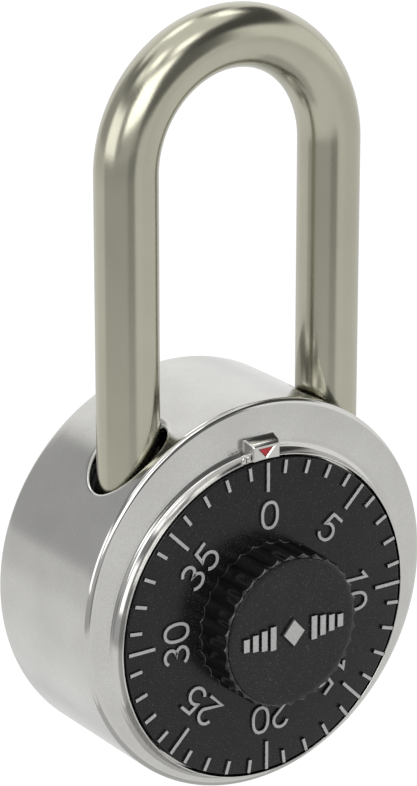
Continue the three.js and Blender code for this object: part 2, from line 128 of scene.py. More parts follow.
# How far each numeral stands to the right of its mark, in millimetres.
NUMERAL_SHIFT = {0: 0.26, 5: -0.3, 10: -0.41, 15: 0.1, 20: -0.5, 25: 0.47, 30: -0.12, 35: -0.6}


# ---------------------------------------------------------------- mesh helpers
def arc(centre, radius, start, end, steps):
    """Points (u, v) on an arc; angles in degrees, start and end included."""
    points = []
    for i in range(steps + 1):
        angle = math.radians(start + (end - start) * i / steps)
        points.append((centre[0] + radius * math.cos(angle), centre[1] + radius * math.sin(angle)))
    return points


def bezier(points, steps):
    """Points on a quadratic or cubic curve, both ends included."""
    result = []
    for i in range(steps + 1):
        t = i / steps
        level = [Vector(p) for p in points]
        while len(level) > 1:
            level = [a.lerp(b, t) for a, b in zip(level, level[1:])]
        result.append(level[0])
    return result


def around(centre_z, radius, y, angle):
    """A point on a circle about the Y direction; angle runs clockwise from the top, seen from the front."""
    return Vector((radius * math.sin(angle), y, centre_z + radius * math.cos(angle)))


def skin(bm, rows, slot=0):
    """Quads between neighbouring rows of points, each row a closed loop."""
    made = [[bm.verts.new(point) for point in row] for row in rows]
    for here, there in zip(made, made[1:]):
        count = len(here)
        for i in range(count):
            j = (i + 1) % count
            face = bm.faces.new((here[i], here[j], there[j], there[i]))
            face.material_index = slot


def cap(bm, row, slot=0):
    """A fan that closes a row of points with a point in its middle."""
    middle = bm.verts.new(sum(row, Vector()) / len(row))
    rim = [bm.verts.new(point) for point in row]
    for i, vert in enumerate(rim):
        face = bm.faces.new((vert, rim[(i + 1) % len(rim)], middle))
        face.material_index = slot


def to_object(bm, name, materials, body, sharp=30.0):
    """Welds the mesh, turns its faces outward, and makes a smooth object that rides on a body."""
    bmesh.ops.remove_doubles(bm, verts=bm.verts, dist=1e-7)
    bmesh.ops.recalc_face_normals(bm, faces=bm.faces)
    mesh = bpy.data.meshes.new(name)
    bm.to_mesh(mesh)
    bm.free()
    for material in materials:
        mesh.materials.append(material)
    mesh.polygons.foreach_set("use_smooth", [True] * len(mesh.polygons))
    mesh.set_sharp_from_angle(angle=math.radians(sharp))
    obj = bpy.data.objects.new(name, mesh)
    bpy.context.scene.collection.objects.link(obj)
    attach(obj, body)
    return obj


def turned(bm, profile, centre_z, sides, closed_section=True):
    """A turned body from (radius, y) points; a section that isn't closed is capped at both ends."""
    angles = [2 * math.pi * i / sides for i in range(sides)]
    rows = [[around(centre_z, radius, y, a) for a in angles] for radius, y in profile]
    if closed_section:
        rows.append(rows[0])
    skin(bm, rows)
    if not closed_section:
        cap(bm, rows[0])
        cap(bm, rows[-1])


# ---------------------------------------------------------------- materials
class Look:
    """A Principled material built up from a few noise layers in the piece's own coordinates."""

    def __init__(self, name, metallic, roughness):
        self.material = bpy.data.materials.new(name)
        self.material.use_nodes = True
        self.tree = self.material.node_tree
        self.shader = self.tree.nodes["Principled BSDF"]
        self.shader.inputs["Metallic"].default_value = metallic
        self.shader.inputs["Roughness"].default_value = roughness
        self.place = self.tree.nodes.new("ShaderNodeTexCoord").outputs["Object"]

    def link(self, source, target):
        self.tree.links.new(source, target)

    def noise(self, size, detail=3.0):
        """Noise whose features are about size metres across."""
        mapping = self.tree.nodes.new("ShaderNodeMapping")
        mapping.inputs["Scale"].default_value = [1 / size] * 3
        self.link(self.place, mapping.inputs["Vector"])
        noise = self.tree.nodes.new("ShaderNodeTexNoise")
        noise.inputs["Scale"].default_value = 1.0
        noise.inputs["Detail"].default_value = detail
        self.link(mapping.outputs["Vector"], noise.inputs["Vector"])
        return noise.outputs["Fac"]

    def spread(self, factor, low, high, start=0.3, end=0.7):
        """Maps noise from start..end onto low..high."""
        node = self.tree.nodes.new("ShaderNodeMapRange")
        node.inputs["From Min"].default_value = start
        node.inputs["From Max"].default_value = end
        node.inputs["To Min"].default_value = low
        node.inputs["To Max"].default_value = high
        self.link(factor, node.inputs["Value"])
        return node.outputs["Result"]

    def blend(self, factor, first, second):
        """A colour between first and second; each may be a colour or another node's output."""
        node = self.tree.nodes.new("ShaderNodeMix")
        node.data_type = "RGBA"
        self.link(factor, node.inputs["Factor"])
        for socket, value in ((node.inputs[6], first), (node.inputs[7], second)):
            if isinstance(value, tuple):
                socket.default_value = (*value, 1.0)
            else:
                self.link(value, socket)
        return node.outputs[2]

    def colour(self, output):
        self.link(output, self.shader.inputs["Base Color"])

    def roughness(self, output):
        self.link(output, self.shader.inputs["Roughness"])

    def bump(self, layers):
        """Stacks bumps; each layer is (factor, height in metres)."""
        normal = None
        for factor, height in layers:
            node = self.tree.nodes.new("ShaderNodeBump")
            node.inputs["Distance"].default_value = height
            self.link(factor, node.inputs["Height"])
            if normal is not None:
                self.link(normal, node.inputs["Normal"])
            normal = node.outputs["Normal"]
        self.link(normal, self.shader.inputs["Normal"])


def metal(name, pale, dark, rough_low, rough_high, grain=0.12 * MM, grain_height=0.002 * MM):
    """Bare metal: cloudy tone, fine grain in colour, roughness and bump."""
    look = Look(name, 1.0, rough_low)
    clouds = look.noise(size=6 * MM, detail=4.0)
    fine = look.noise(size=grain, detail=4.0)
    tone = look.blend(look.spread(clouds, 0.0, 0.6), pale, dark)
    look.colour(look.blend(look.spread(fine, 0.0, 0.5), tone, dark))
    look.roughness(look.spread(fine, rough_low, rough_high))
    look.bump([(fine, grain_height)])
    return look.material


def moulded_black(name, base, pale, roughness, shine):
    """Moulded black with fine pale specks; shine is the specular level."""
    speck_start, speck_end = 0.62, 0.72
    look = Look(name, 0.0, roughness)
    look.shader.inputs["Specular IOR Level"].default_value = shine
    specks = look.noise(size=0.16 * MM, detail=2.0)
    clouds = look.noise(size=3 * MM, detail=3.0)
    tone = look.blend(look.spread(clouds, 0.0, 1.0), base, tuple(c * 1.5 for c in base))
    look.colour(look.blend(look.spread(specks, 0.0, 1.0, speck_start, speck_end), tone, pale))
    look.roughness(look.spread(specks, roughness, roughness + 0.1))
    look.bump([(look.noise(size=0.25 * MM, detail=3.0), 0.006 * MM)])
    return look.material


def painted(name, base, dark, roughness):
    """Paint or print with a slightly uneven film."""
    look = Look(name, 0.0, roughness)
    film = look.noise(size=0.4 * MM, detail=4.0)
    look.colour(look.blend(look.spread(film, 0.0, 1.0), base, dark))
    look.roughness(look.spread(film, roughness, roughness + 0.12))
    look.bump([(film, 0.004 * MM)])
    return look.material


STAINLESS = metal("stainless_satin", (0.57, 0.565, 0.545), (0.46, 0.456, 0.44), 0.12, 0.2,
                  0.2 * MM, 0.003 * MM)
CHROME = metal("stainless_polished", (0.56, 0.555, 0.535), (0.5, 0.495, 0.48), 0.05, 0.1, 0.3 * MM)
SHACKLE_STEEL = metal("shackle_steel", (0.435, 0.425, 0.34), (0.385, 0.375, 0.3), 0.15, 0.24,
                      0.14 * MM, 0.003 * MM)
DIAL_BLACK = moulded_black("dial_black", (0.005, 0.005, 0.005), (0.07, 0.07, 0.07), 0.2, 0.26)
CAP_BLACK = moulded_black("cap_black", (0.006, 0.006, 0.006), (0.08, 0.08, 0.08), 0.24, 0.26)
KNOB_BLACK = moulded_black("knob_black", (0.003, 0.003, 0.003), (0.01, 0.01, 0.01), 0.13, 0.6)
MARK_GREY = painted("mark_grey", (0.42, 0.42, 0.415), (0.35, 0.35, 0.345), 0.4)
RED_PAINT = painted("red_paint", (0.42, 0.015, 0.02), (0.34, 0.012, 0.016), 0.4)
PLATED_STEEL = metal("plated_steel", (0.60, 0.58, 0.50), (0.50, 0.49, 0.44), 0.25, 0.4)
BLACK_CASTING = painted("black_casting", (0.03, 0.03, 0.032), (0.018, 0.018, 0.02), 0.6)
ZINC = metal("zinc_casting", (0.46, 0.47, 0.48), (0.38, 0.39, 0.40), 0.4, 0.6, 0.3 * MM, 0.01 * MM)
BRASS = metal("brass", (0.66, 0.48, 0.22), (0.56, 0.40, 0.18), 0.2, 0.35)
SPRING_STEEL = metal("spring_steel", (0.38, 0.39, 0.41), (0.30, 0.31, 0.33), 0.2, 0.35)


# ---------------------------------------------------------------- camera and light
CAMERA_PLACE = Vector((-211.41, -300.50, 91.31)) * MM
CAMERA_TARGET = Vector((-2.858, 0, -38.0)) * MM
# Blender takes the lens and the sensor in millimetres.
FOCAL_LENGTH = 154.65
SENSOR_WIDTH = 36

# The camera sees a plain white floor and background; reflections see a greyer floor and the panels.
FLOOR_HALF = 115 * MM
FLOOR_DROP = 120 * MM
FLOOR_GLOW = 0.7
BACKGROUND_GLOW = 1.05


def make_camera():
    data = bpy.data.cameras.new("camera")
    data.lens = FOCAL_LENGTH
    data.sensor_width = SENSOR_WIDTH
    camera = bpy.data.objects.new("camera", data)
    camera.location = CAMERA_PLACE
    camera.rotation_euler = (CAMERA_TARGET - CAMERA_PLACE).to_track_quat("-Z", "Y").to_euler()
    bpy.context.scene.collection.objects.link(camera)
    bpy.context.scene.camera = camera


def make_floor():
    bm = bmesh.new()
    level = SHELL_LOW.z - FLOOR_DROP
    corners = [(-1, -1), (1, -1), (1, 1), (-1, 1)]
    bm.faces.new([bm.verts.new((x * FLOOR_HALF, y * FLOOR_HALF, level)) for x, y in corners])
    mesh = bpy.data.meshes.new("floor")
    bm.to_mesh(mesh)
    bm.free()
    look = Look("floor_white", 0.0, 0.9)
    clouds = look.noise(size=400 * MM, detail=2.0)
    look.colour(look.blend(look.spread(clouds, 0.0, 1.0), (0.6, 0.6, 0.6), (0.57, 0.57, 0.57)))
    look.shader.inputs["Emission Color"].default_value = (1.0, 1.0, 1.0, 1.0)
    seen = look.tree.nodes.new("ShaderNodeLightPath").outputs["Is Camera Ray"]
    look.link(look.spread(seen, 0.0, FLOOR_GLOW, 0.0, 1.0), look.shader.inputs["Emission Strength"])
    mesh.materials.append(look.material)
    floor = bpy.data.objects.new("floor", mesh)
    bpy.context.scene.collection.objects.link(floor)


# The studio round the padlock, as soft-edged panels painted one over the other:
# azimuth of the middle (0 in front, 90 to the right), half width, lowest and highest elevation,
# width of the soft edge, all in degrees, and brightness.
PANELS = {
    "walls": (0, 180, -20, 50, 4, 0.62),
    "back_wall": (150, 56, -20, 44, 14, 1.2),
    "rear_pillar": (-143, 22, -20, 36, 18, 0.55),
    "left_window": (-99, 21, -11, 28, 7, 2.1),
    "left_pillar": (-69, 9, -12, 30, 6, 0.52),
    "front_window": (-34, 27, 13, 46, 5, 3.2),
    "front_wall": (8, 22, -12, 34, 9, 0.2),
    "right_panel": (61, 29, -5, 27, 4, 1.2),
    "ceiling": (0, 180, 46, 200, 6, 1.15),
    "left_beam": (-108, 52, 32, 44, 5, 0.34),
    "left_shade": (-122, 14, 42, 62, 8, 0.25),
    "front_shade": (-34, 18, 50, 62, 6, 0.62),
    "rear_shade": (142, 12, 44, 60, 6, 0.3),
    "right_beam": (62, 62, 31, 58, 6, 0.09),
    "lamp_rear_left": (-152, 10, 47, 56, 5, 1.7),
    "lamp_left": (-92, 12, 48, 56, 5, 2.0),
    "lamp_front_left": (-66, 16, 57, 70, 6, 3.2),
    "lamp_front": (-4, 18, 54, 67, 6, 3.2),
    "lamp_right": (110, 18, 55, 68, 6, 3.0),
    "lamp_rear": (178, 17, 54, 68, 6, 3.2),
    "floor": (0, 180, -200, -1, 3, 0.98),
    "floor_below": (0, 180, -200, -30, 12, 1.0),
    "floor_left": (-72, 44, -20, -2, 6, 0.56),
    "floor_front": (-16, 13, -20, -2, 6, 0.33),
    "floor_right": (61, 36, -18, -2, 5, 0.9),
    "floor_back": (140, 38, -66, -12, 14, 0.84),
    "floor_rear_left": (-143, 26, -13, -1, 8, 0.82),
    "back_glow": (146, 40, -9, 10, 16, 0.98),
}


class Studio:
    """World nodes that turn a direction into azimuth and elevation, and paint panels there."""

    def __init__(self, tree):
        self.tree = tree
        direction = tree.nodes.new("ShaderNodeTexCoord").outputs["Generated"]
        split = tree.nodes.new("ShaderNodeSeparateXYZ")
        tree.links.new(direction, split.inputs["Vector"])
        forward = self.math("MULTIPLY", split.outputs["Y"], -1.0)
        self.azimuth = self.math("DEGREES", self.math("ARCTAN2", split.outputs["X"], forward))
        self.elevation = self.math("DEGREES", self.math("ARCSINE", split.outputs["Z"]))

    def math(self, operation, *values):
        node = self.tree.nodes.new("ShaderNodeMath")
        node.operation = operation
        for socket, value in zip(node.inputs, values):
            if isinstance(value, (int, float)):
                socket.default_value = value
            else:
                self.tree.links.new(value, socket)
        return node.outputs["Value"]

    def step(self, value, edge, softness):
        """1 where value is below the edge, 0 above it, with a smooth change between."""
        node = self.tree.nodes.new("ShaderNodeMapRange")
        node.interpolation_type = "SMOOTHSTEP"
        node.inputs["From Min"].default_value = edge - softness / 2
        node.inputs["From Max"].default_value = edge + softness / 2
        node.inputs["To Min"].default_value = 1.0
        node.inputs["To Max"].default_value = 0.0
        self.tree.links.new(value, node.inputs["Value"])
        return node.outputs["Result"]

    def panel(self, under, azimuth, half_width, low, high, softness, brightness):
        away = self.math("SUBTRACT", self.azimuth, azimuth)
        away = self.math("ABSOLUTE", self.math("WRAP", away, 180.0, -180.0))
        inside = self.step(away, half_width, softness) if half_width < 180 else 1.0
        inside = self.math("MULTIPLY", inside, self.step(self.elevation, high, softness))
        above = self.math("SUBTRACT", 1.0, self.step(self.elevation, low, softness))
        inside = self.math("MULTIPLY", inside, above)
        change = self.math("SUBTRACT", brightness, under)
        return self.math("MULTIPLY_ADD", inside, change, under)


def make_world():
    world = bpy.data.worlds.new("studio")
    bpy.context.scene.world = world
    world.use_nodes = True
    tree = world.node_tree
    studio = Studio(tree)
    light = 1.0
    for panel in PANELS.values():
        light = studio.panel(light, *panel)
    seen = tree.nodes.new("ShaderNodeLightPath").outputs["Is Camera Ray"]
    plain = studio.math("SUBTRACT", BACKGROUND_GLOW, light)
    strength = studio.math("MULTIPLY_ADD", seen, plain, light)
    tree.links.new(strength, tree.nodes["Background"].inputs["Strength"])
    tree.nodes["Background"].inputs["Color"].default_value = (1.0, 1.0, 1.0, 1.0)


# ---------------------------------------------------------------- case
def wall_lines():
    """Angles round the case, clockwise from the top, with the same step all the way."""
    return [2 * math.pi * i / AROUND for i in range(AROUND)]


# The patches round the holes: their angles from the top, to either side, and their rear end.
PATCH_START = math.radians(18.75)
PATCH_END = math.radians(58.75)
PATCH_BACK = 5.9 * MM
WALL_FRONT = BEZEL + EDGE_RADIUS
WALL_BACK = CASE_BACK - EDGE_RADIUS
# Rows of the side wall along the patches and behind them, and rings from a patch's border to its hole.
PATCH_ROWS = 16
REAR_ROWS = 6
PATCH_RINGS = 5
LIP_STEPS = 6

# The material slots of the pieces that are part satin, part polished.
STEELS = [STAINLESS, CHROME]
SATIN, BRIGHT = 0, 1


def wall_depths():
    """The rows of the side wall, front to back; the first ones bound the patches round the holes."""
    patch = [WALL_FRONT + (PATCH_BACK - WALL_FRONT) * i / PATCH_ROWS for i in range(PATCH_ROWS + 1)]
    return patch + [PATCH_BACK + (WALL_BACK - PATCH_BACK) * i / REAR_ROWS for i in range(1, REAR_ROWS + 1)]


def wall_point(radius, x, y):
    """The point of the wall's cylinder, on its upper half, that has this x and y."""
    return Vector((x, y, CASE_Z + math.sqrt(radius * radius - x * x)))


def patch_border(radius, side):
    """The patch's rectangle as (x, y), once round it, on the wall's own lines."""
    step = 2 * math.pi / AROUND
    columns = round((PATCH_END - PATCH_START) / step)
    xs = [side * radius * math.sin(PATCH_START + step * i) for i in range(columns + 1)]
    ys = wall_depths()[:PATCH_ROWS + 1]
    front = [(x, ys[0]) for x in xs[:-1]]
    outer = [(xs[-1], y) for y in ys[:-1]]
    back = [(x, ys[-1]) for x in reversed(xs[1:])]
    inner = [(xs[0], y) for y in reversed(ys[1:])]
    return front + outer + back + inner


def hole_directions(side):
    """Where each point of the patch's border lies, seen from the middle of the hole."""
    directions = []
    for x, y in patch_border(CASE_RADIUS, side):
        offset = Vector((x - side * LEG_X, y))
        directions.append(offset.normalized())
    return directions


def patch_rows(radius, side, hole_radius):
    """Rows from the patch's border in to the hole, all on the wall's cylinder."""
    rows = []
    border = patch_border(radius, side)
    for ring in range(PATCH_RINGS + 1):
        t = ring / PATCH_RINGS
        row = []
        for (x, y), direction in zip(border, hole_directions(side)):
            hole_x = side * LEG_X + hole_radius * direction.x
            hole_y = hole_radius * direction.y
            row.append(wall_point(radius, x + (hole_x - x) * t, y + (hole_y - y) * t))
        rows.append(row)
    return rows


def lip_rows(side):
    """The rounded lip of a shackle hole, from the wall over into the bore."""
    rows = [[] for _ in range(LIP_STEPS + 1)]
    outer = HOLE_RADIUS + HOLE_LIP
    for direction in hole_directions(side):
        start = wall_point(CASE_RADIUS, side * LEG_X + outer * direction.x, outer * direction.y)
        corner = wall_point(CASE_RADIUS, side * LEG_X + HOLE_RADIUS * direction.x, HOLE_RADIUS * direction.y)
        end = corner - Vector((0, 0, HOLE_LIP))
        for row, point in zip(rows, bezier([start, corner, end], LIP_STEPS)):
            row.append(point)
    return rows


def make_hole(bm, side):
    skin(bm, patch_rows(CASE_RADIUS, side, HOLE_RADIUS + HOLE_LIP), SATIN)
    lip = lip_rows(side)
    skin(bm, lip, BRIGHT)
    inner = patch_rows(INNER_RADIUS, side, HOLE_RADIUS)
    skin(bm, [lip[-1], inner[-1]], BRIGHT)
    skin(bm, inner, SATIN)


def side_wall(bm, radius):
    """The wall's cylinder without the cells that the patches fill."""
    lines = wall_lines()
    depths = wall_depths()
    for row, (near, far) in enumerate(zip(depths, depths[1:])):
        for angle in lines:
            following = angle + 2 * math.pi / AROUND
            middle = (angle + following) / 2
            folded = min(middle, 2 * math.pi - middle)
            if row < PATCH_ROWS and PATCH_START < folded < PATCH_END:
                continue
            corners = [(angle, near), (following, near), (following, far), (angle, far)]
            verts = [bm.verts.new(around(CASE_Z, radius, y, a)) for a, y in corners]
            bm.faces.new(verts).material_index = SATIN


def case_row(radius, y):
    """A circle about the case's own axis."""
    return [around(CASE_Z, radius, y, angle) for angle in wall_lines()]


def flat_edge():
    """Where the flat of the bezel meets the rounding of the case's front edge."""
    return case_row(CASE_RADIUS - EDGE_RADIUS, BEZEL)


def dial_angle(point):
    return math.atan2(point.x, point.z - DIAL_Z)


def dial_reach(point):
    """How far a point lies from the dial's axis."""
    return math.hypot(point.x, point.z - DIAL_Z)


def dial_row(radius, y):
    """A circle about the dial's axis, its points in line with those of the bezel's edge."""
    return [around(DIAL_Z, radius, y, dial_angle(point)) for point in flat_edge()]


def dish_row(y):
    """The dish's outer edge, kept inside the case's wall where the two come close."""
    row = []
    for wall, edge in zip(case_row(INNER_RADIUS, y), flat_edge()):
        radius = min(RING_INNER + DISH_WALL, dial_reach(wall) - DISH_GAP)
        row.append(around(DIAL_Z, radius, y, dial_angle(edge)))
    return row


def make_wall(bm):
    """The front edge, the wall with its two holes, and the rolled rear lip."""
    front = arc((CASE_RADIUS - EDGE_RADIUS, WALL_FRONT), EDGE_RADIUS, -90, 0, 8)
    skin(bm, [case_row(r, y) for r, y in front], BRIGHT)
    side_wall(bm, CASE_RADIUS)
    lip_rounding = REAR_LIP_THICKNESS / 2
    back = arc((CASE_RADIUS - EDGE_RADIUS, WALL_BACK), EDGE_RADIUS, 0, 90, 8)
    back += arc((REAR_LIP_RADIUS + lip_rounding, CASE_BACK - lip_rounding), lip_rounding, 90, 270, 8)
    back += [(INNER_RADIUS, CASE_BACK - REAR_LIP_THICKNESS), (INNER_RADIUS, WALL_BACK)]
    skin(bm, [case_row(r, y) for r, y in back], BRIGHT)
    side_wall(bm, INNER_RADIUS)
    for side in (-1, 1):
        make_hole(bm, side)


def flank_curve(start, foot):
    """The ring's flank as (radius, y), steep below the lip and level where it meets the bezel."""
    width = foot - start[0]
    steep = (start[0] + 0.1 * width, BEZEL - 0.2 * MM)
    level = (start[0] + 0.45 * width, BEZEL)
    return bezier([start, steep, level, (foot, BEZEL)], FLANK_STEPS)


def make_ring(bm):
    """The ring that stands round the dial, with a flank that runs out into the bezel."""
    rounding = arc((RING_INNER + RING_LIP, RING_TOP + RING_LIP), RING_LIP, 180, 345, 14)
    dish_front = [(DISH_BORE, DISH_FLOOR), (RING_INNER, DISH_FLOOR)]
    skin(bm, [dial_row(r, y) for r, y in dish_front + rounding], BRIGHT)
    start = rounding[-1]
    flank = [[] for _ in range(FLANK_STEPS + 1)]
    for edge in flat_edge():
        foot = min(RING_FOOT, start[0] + FLANK_REACH * (dial_reach(edge) - start[0]))
        for i, (row, (radius, y)) in enumerate(zip(flank, flank_curve(start, foot))):
            turn = math.pi * i / FLANK_STEPS
            ripple = RING_RIPPLE * math.sin(turn) * math.sin(2 * RING_WAVES * turn)
            row.append(around(DIAL_Z, radius, y + ripple, dial_angle(edge)))
    skin(bm, flank[:FLANK_POLISHED + 1], BRIGHT)
    skin(bm, flank[FLANK_POLISHED:], SATIN)
    skin(bm, [flank[-1], flat_edge()], SATIN)


def make_bezel_back(bm):
    """The back of the bezel and of the dish that the dial turns in."""
    rows = [case_row(INNER_RADIUS, WALL_FRONT), dish_row(BEZEL + BEZEL_THICKNESS), dish_row(DISH_BACK)]
    rows += [dial_row(DISH_BORE, DISH_BACK), dial_row(DISH_BORE, DISH_FLOOR)]
    skin(bm, rows, SATIN)


def make_case_shell():
    bm = bmesh.new()
    make_wall(bm)
    make_ring(bm)
    make_bezel_back(bm)
    shell = to_object(bm, "case_shell", STEELS, "case", sharp=45)
    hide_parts("outer_shell")


def index_outline(y, half_width, top):
    """The block's outline at depth y: the ring's curve below, rounded corners above."""
    corner = 0.2 * MM
    bottom_steps = 10
    points = []
    for i in range(bottom_steps + 1):
        x = -half_width + 2 * half_width * i / bottom_steps
        points.append(Vector((INDEX_X + x, y, DIAL_Z + math.sqrt(RING_INNER ** 2 - x * x))))
    for side, start in ((1, 0), (-1, 90)):
        centre = (INDEX_X + side * (half_width - corner), DIAL_Z + top - corner)
        points += [Vector((x, y, z)) for x, z in arc(centre, corner, start, start + 90, 5)]
    return points


def triangle_points(y, grow=0.0):
    """A triangle's corners, upper left, bottom, upper right; grow moves every side out by about as much."""
    corner_growth, tip_growth = 2.2, 1.5
    half = TRIANGLE_HALF + corner_growth * grow
    top = INLAY_HIGH.z + 0.03 * MM + grow
    tip = INLAY_LOW.z + 0.2 * MM - tip_growth * grow
    return [Vector((INDEX_X - half, y, top)), Vector((INDEX_X, y, tip)), Vector((INDEX_X + half, y, top))]


def face_with_pocket(bm, outline, pocket, slot):
    """Fills the flat between the outline and a three-cornered pocket, corner by corner."""
    outer = [bm.verts.new(p) for p in outline]
    inner = [bm.verts.new(p) for p in pocket]
    middle = sum(pocket, Vector()) / 3
    nearest = []
    for point in outline:
        directions = [(corner - middle).normalized() for corner in pocket]
        away = (point - middle).normalized()
        nearest.append(max(range(3), key=lambda k: directions[k].dot(away)))
    for i, vert in enumerate(outer):
        j = (i + 1) % len(outer)
        corners = [vert, outer[j], inner[nearest[j]]]
        if nearest[i] != nearest[j]:
            corners.append(inner[nearest[i]])
        bm.faces.new(corners).material_index = slot


def make_lug(bm, x):
    """A small pressed lug that crosses the ring's lip beside the index block."""
    half_width, height, half_length = 0.32 * MM, 0.3 * MM, 0.46 * MM
    bluntness = 0.6
    steps, sides = 12, 16
    level = RING_TOP + height * 0.6
    middle = DIAL_Z + math.sqrt((RING_INNER + half_length) ** 2 - x * x)
    rows = []
    for i in range(1, steps):
        angle = math.pi * i / steps
        girth = math.sin(angle) ** bluntness
        z = middle + math.cos(angle) * half_length
        row = []
        for k in range(sides):
            turn = 2 * math.pi * k / sides
            across, out = half_width * girth * math.cos(turn), height * girth * math.sin(turn)
            row.append(Vector((x + across, level - out, z)))
        rows.append(row)
    skin(bm, rows, BRIGHT)
    cap(bm, rows[0], BRIGHT)
    cap(bm, rows[-1], BRIGHT)


def index_levels(y, sizes):
    """Outlines of the block from (depth past y, half width, top above the dial's axis), in millimetres."""
    return [index_outline(y + depth * MM, half * MM, top * MM) for depth, half, top in sizes]


def make_index_block(front):
    foot = index_levels(BEZEL, [(0.3, 2.35, 22.2), (-0.01, 2.35, 22.2), (-0.06, 2.25, 22.1),
                                (-0.14, 2.16, 22.0), (-0.3, 2.1, 21.94)])
    bevel = index_levels(front, [(0.4, 1.96, 21.72), (0.08, 1.84, 21.46), (0.0, 1.76, 21.38)])
    bm = bmesh.new()
    skin(bm, foot, SATIN)
    skin(bm, [foot[-1], bevel[0]], BRIGHT)
    skin(bm, bevel, SATIN)
    pocket_bevel, pocket_depth = 0.13 * MM, 0.3 * MM
    rim = triangle_points(front, pocket_bevel)
    ledge = triangle_points(front + pocket_bevel)
    pit = triangle_points(front + pocket_depth)
    face_with_pocket(bm, bevel[-1], rim, SATIN)
    skin(bm, [rim, ledge, pit], BRIGHT)
    for outline in (pit, foot[0][::-1]):
        bm.faces.new([bm.verts.new(p) for p in outline]).material_index = BRIGHT
    for x in (-3.15 * MM, -2.5 * MM):
        make_lug(bm, x)
    block = to_object(bm, "index_block", STEELS, "case")


def make_index_mark(front):
    """The red inlay: a low prism in the pocket, with a slightly smaller face."""
    face, back = front + 0.19 * MM, front + 0.28 * MM
    shoulder = face + 0.02 * MM
    slack = -0.01 * MM
    rows = [triangle_points(back, slack), triangle_points(shoulder, slack), triangle_points(face, slack * 3)]
    bm = bmesh.new()
    skin(bm, rows)
    for corners in (rows[-1], rows[0]):
        bm.faces.new([bm.verts.new(p) for p in corners])
    mark = to_object(bm, "index_mark", [RED_PAINT], "case")
    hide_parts("index_triangle")


def make_rear_cover():
    low, high = COVER_LOW, COVER_HIGH
    flange = (high.x - low.x) / 2
    panel = flange - 1.0 * MM
    sheet = 0.9 * MM
    inside = panel - sheet
    bend, inner_bend = 0.5 * MM, 0.2 * MM
    profile = [(panel - 2 * MM, high.y)]
    profile += arc((panel - bend, high.y - bend), bend, 90, 0, 6)
    profile += [(panel, low.y + sheet + 0.1 * MM), (flange, low.y + sheet), (flange, low.y), (inside, low.y)]
    profile += [(inside, high.y - sheet - inner_bend), (inside - inner_bend, high.y - sheet)]
    bm = bmesh.new()
    turned(bm, profile, CASE_Z, 240, closed_section=False)
    cover = to_object(bm, "rear_cover", [STAINLESS], "case")
    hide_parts("back_cover")


# ---------------------------------------------------------------- dial and its marks
def make_dial_plate():
    edge = 0.25 * MM
    profile = [(SPINDLE_BORE, DIAL_FACE), (DIAL_RADIUS * 0.5, DIAL_FACE), (DIAL_RADIUS - edge, DIAL_FACE)]
    profile += arc((DIAL_RADIUS - edge, DIAL_FACE + edge), edge, -90, 0, 5)[1:]
    profile += [(DIAL_RADIUS, DIAL_HIGH.y), (SPINDLE_BORE, DIAL_HIGH.y)]
    bm = bmesh.new()
    turned(bm, profile, DIAL_Z, AROUND)
    plate = to_object(bm, "dial_plate", [DIAL_BLACK], "dial")
    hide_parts("dial_disc")


def raised_stroke(bm, path, width, base, height, closed=False):
    """A raised line with sloping sides along a path of (x, z) points, standing on the plane y = base."""
    count = len(path)
    half = width / 2
    foot = half + 0.07 * MM
    shoulder, flat = height * 0.8, half * 0.8
    section = [(-foot, 0.0), (-half, shoulder), (-flat, height)]
    section += [(flat, height), (half, shoulder), (foot, 0.0)]
    rows = []
    for i, point in enumerate(path):
        before = path[(i - 1) % count] if closed or i > 0 else point
        after = path[(i + 1) % count] if closed or i < count - 1 else point
        into = (point - before).normalized() if before is not point else (after - point).normalized()
        out = (after - point).normalized() if after is not point else into
        along = (into + out).normalized()
        mitre = 1 / max(0.5, along.dot(out))
        across = Vector((along.y, -along.x)) * mitre
        rows.append([Vector((point.x + across.x * s, base - h, point.y + across.y * s)) for s, h in section])
    if closed:
        rows.append(rows[0])
    skin(bm, rows)
    if not closed:
        for row in (rows[0], rows[-1]):
            bm.faces.new([bm.verts.new(p) for p in row])


def paint_tops(bm, base, height):
    """Gives the second material to the faces that lie above three quarters of the marks' height."""
    level = base - height * 0.75
    for face in bm.faces:
        if all(vert.co.y < level for vert in face.verts):
            face.material_index = 1


def tick_angles():
    """Forty marks as (degrees, is it long); the outer short ones stand a little nearer the long ones."""
    groups, short = 8, 4
    gap = 360 / groups
    first, last = 7.64, 37.36
    step = (last - first) / (short - 1)
    marks = []
    for group in range(groups):
        marks.append((group * gap, True))
        marks += [(group * gap + first + step * i, False) for i in range(short)]
    return marks


def make_ticks():
    bm = bmesh.new()
    for angle, is_long in tick_angles():
        a = math.radians(angle)
        direction = Vector((math.sin(a), math.cos(a)))
        inner = LONG_TICK if is_long else SHORT_TICK
        path = [Vector((0, DIAL_Z)) + direction * r for r in (inner, TICK_OUTER)]
        raised_stroke(bm, path, MARK_WIDTH, MARK_BASE, MARK_HEIGHT)
    paint_tops(bm, MARK_BASE, MARK_HEIGHT)
    ticks = to_object(bm, "dial_ticks", [DIAL_BLACK, MARK_GREY], "dial")


def oval(centre, half_width, half_height, start, end, steps):
    """Points on part of an ellipse; angles in degrees."""
    points = []
    for i in range(steps + 1):
        angle = math.radians(start + (end - start) * i / steps)
        offset = Vector((half_width * math.cos(angle), half_height * math.sin(angle)))
        points.append(Vector(centre) + offset)
    return points


